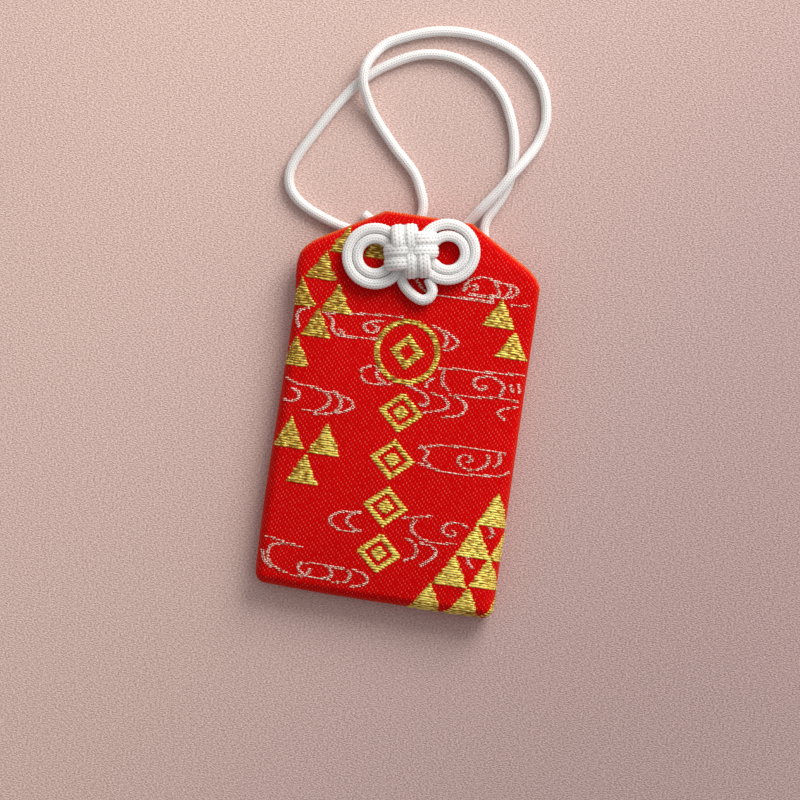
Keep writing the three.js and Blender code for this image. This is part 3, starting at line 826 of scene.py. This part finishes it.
def weft_floats(name, panel, floats, finish, wide, thick, seed):
    """Threads on top of the cloth: each is a flat tube whose height is a power of a sine along it.

    Its ends dive into the cloth, its section lies along the cloth's length and normal, and it strays from
    its row and differs in thickness at random."""
    vary = np.random.default_rng(seed)
    sides = 6
    stray = 0.03
    step = 0.05
    share = np.array([0.02, 0.1, 0.3, 0.5, 0.7, 0.9, 0.98])
    height, left, right = floats.T
    across = left[:, None] + (right - left)[:, None] * share
    along = height[:, None] + vary.uniform(-stray, stray, across.shape)
    middle, normal = panel.on_cloth(across, along)
    ahead, _ = panel.on_cloth(across, along + step)
    lengthways = unit(ahead - middle)
    around = np.arange(sides) * 2 * np.pi / sides
    full = np.sin(np.pi * share)[None, :, None] ** 0.3
    plump = thick * vary.uniform(0.8, 1.15, (len(floats), 1, 1))
    sideways = np.cos(around) * wide / 2 * (0.7 + 0.3 * full)
    lifted = np.sin(around) * plump / 2 * full + plump * (full - 0.55)
    points = (middle[:, :, None] + lengthways[:, :, None] * sideways[..., None]
              + normal[:, :, None] * lifted[..., None])
    one = grid_faces(len(share), sides, wrap=True)
    starts = np.arange(len(floats))[:, None, None] * len(share) * sides
    quads = (one[None] + starts).reshape(-1, 4)
    first_ring = np.arange(sides)[::-1]
    last_ring = (len(share) - 1) * sides + np.arange(sides)
    caps = np.concatenate([starts[:, 0] + first_ring, starts[:, 0] + last_ring])
    place = np.stack(np.broadcast_arrays(share[:, None], np.sin(around)), axis=-1).reshape(-1, 2)
    corners = place[np.concatenate([quads.ravel(), caps.ravel()]) % len(place)]
    return make_piece(name, points.reshape(-1, 3), quads.tolist() + caps.tolist(), finish, corners)


# The cord

def cord_section(count, squareness):
    """Directions at even steps round a cord: cosine and sine, their sizes to the power of 1 - squareness.

    A squareness of 0 is round; more of it presses the cord flat against its neighbours."""
    half_degrees = 720
    angle = np.linspace(0, 2 * np.pi, half_degrees + 1)
    outline = np.stack([np.cos(angle), np.sin(angle)], axis=1)
    pressed = np.sign(outline) * np.abs(outline) ** (1 - squareness)
    return even_steps(pressed, count + 1)[:-1]


def braided_tube(name, route, up, diameter=CORD_DIAMETER, dome=0.5, squareness=0.0):
    """A braided cord along a route, with rounded ends.

    Round the cord run lanes of slanted strokes, leaning the other way in the next lane. A point's radius is
    half the diameter, less the relief times one minus the product of two half sines, the lane's and the
    stroke's."""
    line = through(route, BRAID_STEP)
    tangent = unit(np.gradient(line, axis=0))
    side = unit(np.cross(up, tangent))
    upward = np.cross(tangent, side)
    travelled = np.arange(len(line)) * np.linalg.norm(line[1] - line[0])
    per_lane = 4
    around = np.arange(BRAID_LANES * per_lane)
    lane = around // per_lane
    across = (around % per_lane) / per_lane
    lean = np.where(lane % 2 == 0, BRAID_LEAN, -BRAID_LEAN)
    phase = travelled[:, None] / BRAID_PITCH + (lean * (across - 0.5))[None]
    height = np.sin(np.pi * across)[None] * np.abs(np.sin(np.pi * phase))
    radius = diameter / 2 - BRAID_RELIEF * (1 - height)
    to_end = np.minimum(travelled, travelled[::-1])
    radius = radius * np.sqrt(np.clip(1 - (1 - np.clip(to_end / dome, 0.02, 1)) ** 2, 0, 1))[:, None]
    sideways, upwards = cord_section(len(around), squareness).T[:, None, :, None]
    ring = sideways * side[:, None] + upwards * upward[:, None]
    points = line[:, None] + radius[..., None] * ring
    rows, columns = points.shape[:2]
    faces = grid_faces(rows, columns, wrap=True)
    row, column = np.meshgrid(np.arange(rows - 1), np.arange(columns), indexing="ij")
    corner_lane = np.stack([column, column + 1, column + 1, column], axis=-1) / per_lane
    corner_stroke = np.stack([row, row, row + 1, row + 1], axis=-1) * (travelled[1] / BRAID_PITCH)
    corners = np.stack([corner_lane, corner_stroke], axis=-1).reshape(-1, 2)
    caps = [list(range(columns))[::-1], list(range((rows - 1) * columns, rows * columns))]
    corners = np.concatenate([corners, np.zeros((2 * columns, 2))])
    piece = make_piece(name, points.reshape(-1, 3), faces.tolist() + caps, WHITE_BRAID, corners)
    return piece, line


# The hanging loop, from the hole and back to it. Points are across, above the mouth's edge and up.
OUTER_ARC_ROUTE = [
    (-2.75, -6.5, 1.1), (-2.3, -3.2, 1.1), (-1.6, -0.3, 1.1), (-1.45, 1.5, 1.1), (-1.9, 3.6, 1.1),
    (-4.1, 7.9, 1.1), (-8.9, 12.6, 1.1), (-13.6, 18, 1.4), (-16, 22.3, 3.1), (-16.55, 24.5, 3.6),
    (-16.4, 26.6, 3.4), (-15.3, 29.2, 2.5), (-12.2, 32.4, 1.2), (-4, 35.6, 1.1), (4.4, 35.9, 1.1),
    (12, 33.6, 1.1), (17.4, 28.6, 1.1), (19.3, 22.6, 1.1), (18.6, 17.6, 1.3), (16.5, 13.4, 2.8),
    (14.3, 10.1, 3.7), (12.5, 7.1, 3.6), (9.8, 3.3, 2.9), (7.75, 0.3, 1.5),
]
BIGHT_ROUTE = [
    (6.2, -2.6, 1.1), (5, -6.4, 1.1), (4.3, -10.8, 1.1), (5, -13.4, 1.1), (6.9, -15.3, 1.1),
    (9.5, -16, 1.1), (12.1, -15.3, 1.1), (14, -13.4, 1.1), (14.7, -10.8, 1.1), (14.2, -7.9, 1.1),
    (12.7, -5.1, 1.1), (11.4, -3, 1.1), (10.75, -0.9, 1.1),
]
INNER_ARC_ROUTE = [
    (10.95, 1.2, 1.1), (12.05, 3.5, 1.1), (13.4, 6.4, 1.1), (14.25, 9.5, 1.1), (14.4, 12.8, 1.1),
    (14.1, 16.2, 1.1), (13, 20.2, 1.1), (10.4, 25.2, 1.1), (6, 29, 1.1), (0, 31.1, 1.1),
    (-6, 30.8, 1.1), (-11.6, 28.2, 1.1), (-16.4, 24.5, 1.1), (-20.2, 19.6, 1.1), (-24, 13.2, 1.1),
    (-27.2, 7, 1.1), (-27.8, 3.4, 1.1), (-26.6, 0.7, 1.1), (-23.8, -1.5, 1.1), (-18.6, -3.6, 1.1),
    (-12, -5.4, 1.1), (-6, -8, 1.1), (-0.7, -8.6, 1.1),
]
TAIL_ROUTES = {
    "cord_tail_left": [(-5.3, -5.5, 1.1), (-8.7, -3.5, 1.1), (-12.8, -1.2, 1.1)],
    "cord_tail_lower": [(1, -7.4, 1.1), (1.6, -10.6, 1.1), (0.8, -14.6, 1.1)],
}
UPRIGHT = np.array([0.0, 0.0, 1.0])
ACROSS = np.array([1.0, 0.0, 0.0])


def hanging_loop():
    """The loop past the mouth, which stands in for the loop's hidden solids."""
    route = np.array(OUTER_ARC_ROUTE + BIGHT_ROUTE + INNER_ARC_ROUTE) + (0, TOP, 0)
    loop, line = braided_tube("hanging_loop", route, UPRIGHT, LOOP_DIAMETER)
    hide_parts("rear_strand_centre", "rear_strand_left", "loop_bight", "loop_outer_arc",
                "loop_inner_arc")
    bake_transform(loop)


def put_on(piece, node, body):
    """Stands a piece in for a solid, on its body."""
    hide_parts(node)
    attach(piece, body)


def cord_tails():
    for name, route in TAIL_ROUTES.items():
        tail, _ = braided_tube(name + "_braid", np.array(route) + (0, TOP, 0), UPRIGHT, dome=0.3)
        put_on(tail, name, "pouch")


def turned(points, angle):
    """Points turned about the upright axis."""
    c, s = np.cos(angle), np.sin(angle)
    return np.asarray(points, dtype=float) @ np.array([[c, s, 0], [-s, c, 0], [0, 0, 1]])


def on_knot(points):
    return turned(points, KNOT_TURN) + KNOT_CENTRE


# Degrees round a double ring: its start, end and steps, and where it steps in to the inner turn
RING_START = 30
RING_END = 690
RING_STEP = 8.0
STEP_IN_START = 335
STEP_IN_END = 399


def double_ring(side, inner, sag):
    """An outer turn and an inner turn that it steps in to; side is -1 on the left and 1 on the right.

    The inner turn sags, which opens a gap between the turns at the top, and lies off by half of the sag.
    The height is a cosine of the angle."""
    angle = np.radians(np.arange(RING_START, RING_END, RING_STEP))
    inward = smooth_share(angle, np.radians(STEP_IN_START), np.radians(STEP_IN_END))
    radius = RING_OUTER - (RING_OUTER - inner) * inward
    x = side * (RING_OFFSET - radius * np.cos(angle)) + sag / 2 * inward
    y = -side * radius * np.sin(angle) - RING_DROP - sag * inward
    z = RING_LIFT + RING_WAVE + RING_WAVE * np.cos(angle)
    return on_knot(np.stack([x, y, z], axis=1))


# The knot's routes, from its own middle. A ring has its side, inner radius and sag; an arch is places along
# and up, and the core is places across and up.
RINGS = {"left_double_ring": (-1, 3.35, 0.0), "right_double_ring": (1, 3.3, 0.26)}
CROWN_ARCH = [(3.6, 0.9), (3.85, 2.0), (3.7, 3.0), (3.1, 3.8), (2.2, 4.15), (1.2, 4.1), (0.2, 3.75),
              (-0.9, 2.8)]
CROWN_OFFSETS = (-2.15, 0.15)
CORE_ROUTE = [(-3.2, 3.1), (0, 4.0), (3.2, 3.1)]
CORE_ROWS = (-2.2, 0.0, 2.2)
BOTTOM_LOOP = [(-1.6, -2.8, 1.9), (-2.0, -4.2, 1.5), (-2.1, -5.2, 1.3), (-1.6, -6.6, 1.2),
               (-0.4, -8.1, 1.2), (1.3, -9.3, 1.2), (2.8, -9.1, 1.2), (3.6, -7.9, 1.2), (3.4, -6.6, 1.2),
               (2.9, -5.2, 1.2)]
STEM_SPREAD = 1.45
STEM_ANGLE = np.radians(104)
STEM_TOP = 2.5
STEM_FOOT = 1.7


def crown_strands():
    """Routes of the crown and which way up each lies: four pairs of arches, and three rows of core below.

    Each pair is a quarter turn on from the last."""
    routes = []
    for quarter in range(4):
        turn = quarter * np.pi / 2
        lateral = turned([(1, 0, 0)], KNOT_TURN + turn)[0]
        for offset in CROWN_OFFSETS:
            arch = [(offset, along, height) for along, height in CROWN_ARCH]
            routes.append((turned(arch, turn), lateral))
    for row in CORE_ROWS:
        routes.append((np.array([(across, row, height) for across, height in CORE_ROUTE]), UPRIGHT))
    return routes


def stems():
    """The two stems from the crown down through the cloth to the strands behind it."""
    x, y = STEM_SPREAD * np.cos(STEM_ANGLE), STEM_SPREAD * np.sin(STEM_ANGLE)
    foot = STEM_FOOT - KNOT_CENTRE[2]
    return [np.array([(side * x, side * y, height) for height in (STEM_TOP, 0, foot)]) for side in (-1, 1)]


def knot():
    """The knot: two double rings, the loop below them, the crown over them and the stems under it."""
    for name, (side, inner, sag) in RINGS.items():
        route = double_ring(side, inner, sag)
        ring, _ = braided_tube(name + "_braid", route, UPRIGHT, squareness=RING_PRESSED)
        put_on(ring, name, "knot")
    below, _ = braided_tube("bottom_loop_braid", on_knot(BOTTOM_LOOP), UPRIGHT)
    put_on(below, "bottom_loop", "knot")
    for number, (route, lateral) in enumerate(crown_strands()):
        strand, _ = braided_tube(f"crown_strand_{number}", on_knot(route), lateral, CROWN_DIAMETER,
                                 squareness=CROWN_PRESSED)
        put_on(strand, "knot_crown", "knot")
    for number, route in enumerate(stems()):
        stem, _ = braided_tube(f"stem_{number}", on_knot(route), ACROSS)
        put_on(stem, "knot_crown", "knot")


# Putting it together

def pouch():
    """Both panels, and the coloured threads on the front one; the back's mesh is coarser."""
    front = Panel(side=1, rows=66, columns=40)
    back = Panel(side=-1, rows=66, columns=40)
    fill_out(front)
    front_cloth = brocade_panel("brocade_front", front, rows=320, columns=220)
    back_cloth = brocade_panel("brocade_back", back, rows=160, columns=110)
    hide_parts("front_panel")
    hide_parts("back_panel")
    gold_floats = bound_floats(gold_pattern(), WEFT_PITCH, pitch=3.4, shift=0.3, gap=-0.25, shortest=0.45)
    silver_floats = bound_floats(silver_pattern(), SILVER_PITCH, pitch=0.8, shift=0.37, gap=0.08,
                                 shortest=0.2)
    gold = weft_floats("gold_weft", front, gold_floats, GOLD_THREAD, wide=0.5, thick=0.22, seed=3)
    silver = weft_floats("silver_weft", front, silver_floats, SILVER_THREAD, wide=0.25, thick=0.18, seed=5)
    for piece in (front_cloth, back_cloth, gold, silver):
        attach(piece, "pouch")


def inner_pieces():
    """The pieces inside keep their solids and get their own materials."""
    felt = fibre_finish("felt", (0.70, 0.66, 0.56, 1), (0.86, 0.83, 0.75, 1),
                        scale=900.0, roughness=0.95, grain=1.0)
    card = fibre_finish("card", (0.40, 0.32, 0.21, 1), (0.56, 0.46, 0.33, 1),
                        scale=700.0, roughness=0.9, grain=0.6)
    paper = fibre_finish("paper", (0.80, 0.77, 0.68, 1), (0.92, 0.90, 0.84, 1),
                         scale=600.0, roughness=0.85, grain=0.8)
    cedar = fibre_finish("cedar", (0.44, 0.24, 0.10, 1), (0.66, 0.42, 0.20, 1),
                         scale=900.0, roughness=0.6, grain=0.06)
    finishes = {"front_interlining": felt, "back_interlining": felt, "stiffener_card": card,
                "paper_wrapper": paper, "talisman_slip": cedar, "seam_thread": thread_finish()}
    for node, finish in finishes.items():
        solid = bpy.data.objects[node]
        solid.data.materials.clear()
        solid.data.materials.append(finish)


def stage_and_light():
    """Pale paper floor, a soft lamp past the picture's top, and a surround that is brighter towards it."""
    half = 600.0
    corners = [(-half, -half, 0), (half, -half, 0), (half, half, 0), (-half, half, 0)]
    floor = make_piece("floor", corners, [(0, 1, 2, 3)], paper_floor_finish())
    world = bpy.data.worlds.new("soft_surround")
    world.use_nodes = True
    tree = world.node_tree
    sky = tree.nodes["Background"]
    sky.inputs["Color"].default_value = (1.0, 0.97, 0.96, 1)
    right, away, _ = split_axes(tree, tree.nodes.new("ShaderNodeTexCoord").outputs["Generated"])
    towards_window = plus(tree, times(tree, right, 0.6), times(tree, away, 0.8))
    dimmest = 0.2
    brightest = 0.74
    feed(tree, sky.inputs["Strength"], remap(tree, towards_window, -1.0, 1.0, dimmest, brightest))
    bpy.context.scene.world = world
    lamp = bpy.data.lights.new("window", "AREA")
    lamp.shape = "DISK"
    lamp.size = 0.32
    lamp.energy = 2.15
    lamp.color = (1.0, 0.97, 0.93)
    window = new_object("window", lamp)
    window.location = (0.18, 0.38, 0.28)
    aim = Vector((0, 0.01, 0)) - window.location
    window.rotation_euler = aim.to_track_quat("-Z", "Y").to_euler()


def overhead_camera():
    """Straight above, turned so that the pouch leans to the right in the picture."""
    picture_width = 152.8
    picture_middle = (-0.33, 1.78)
    picture_turn = np.radians(8.62)
    lens = 180.0
    sensor = 36.0
    camera = new_object("camera", bpy.data.cameras.new("camera"))
    camera.data.lens = lens
    camera.data.sensor_width = sensor
    distance = picture_width * lens / sensor
    camera.location = (picture_middle[0] * MM, picture_middle[1] * MM, (FRONT_LEVEL + distance) * MM)
    camera.rotation_euler = (0, 0, picture_turn)
    bpy.context.scene.camera = camera


bpy.context.scene.view_settings.view_transform = "Standard"
overhead_camera()
stage_and_light()
hanging_loop()
cord_tails()
knot()
pouch()
inner_pieces()
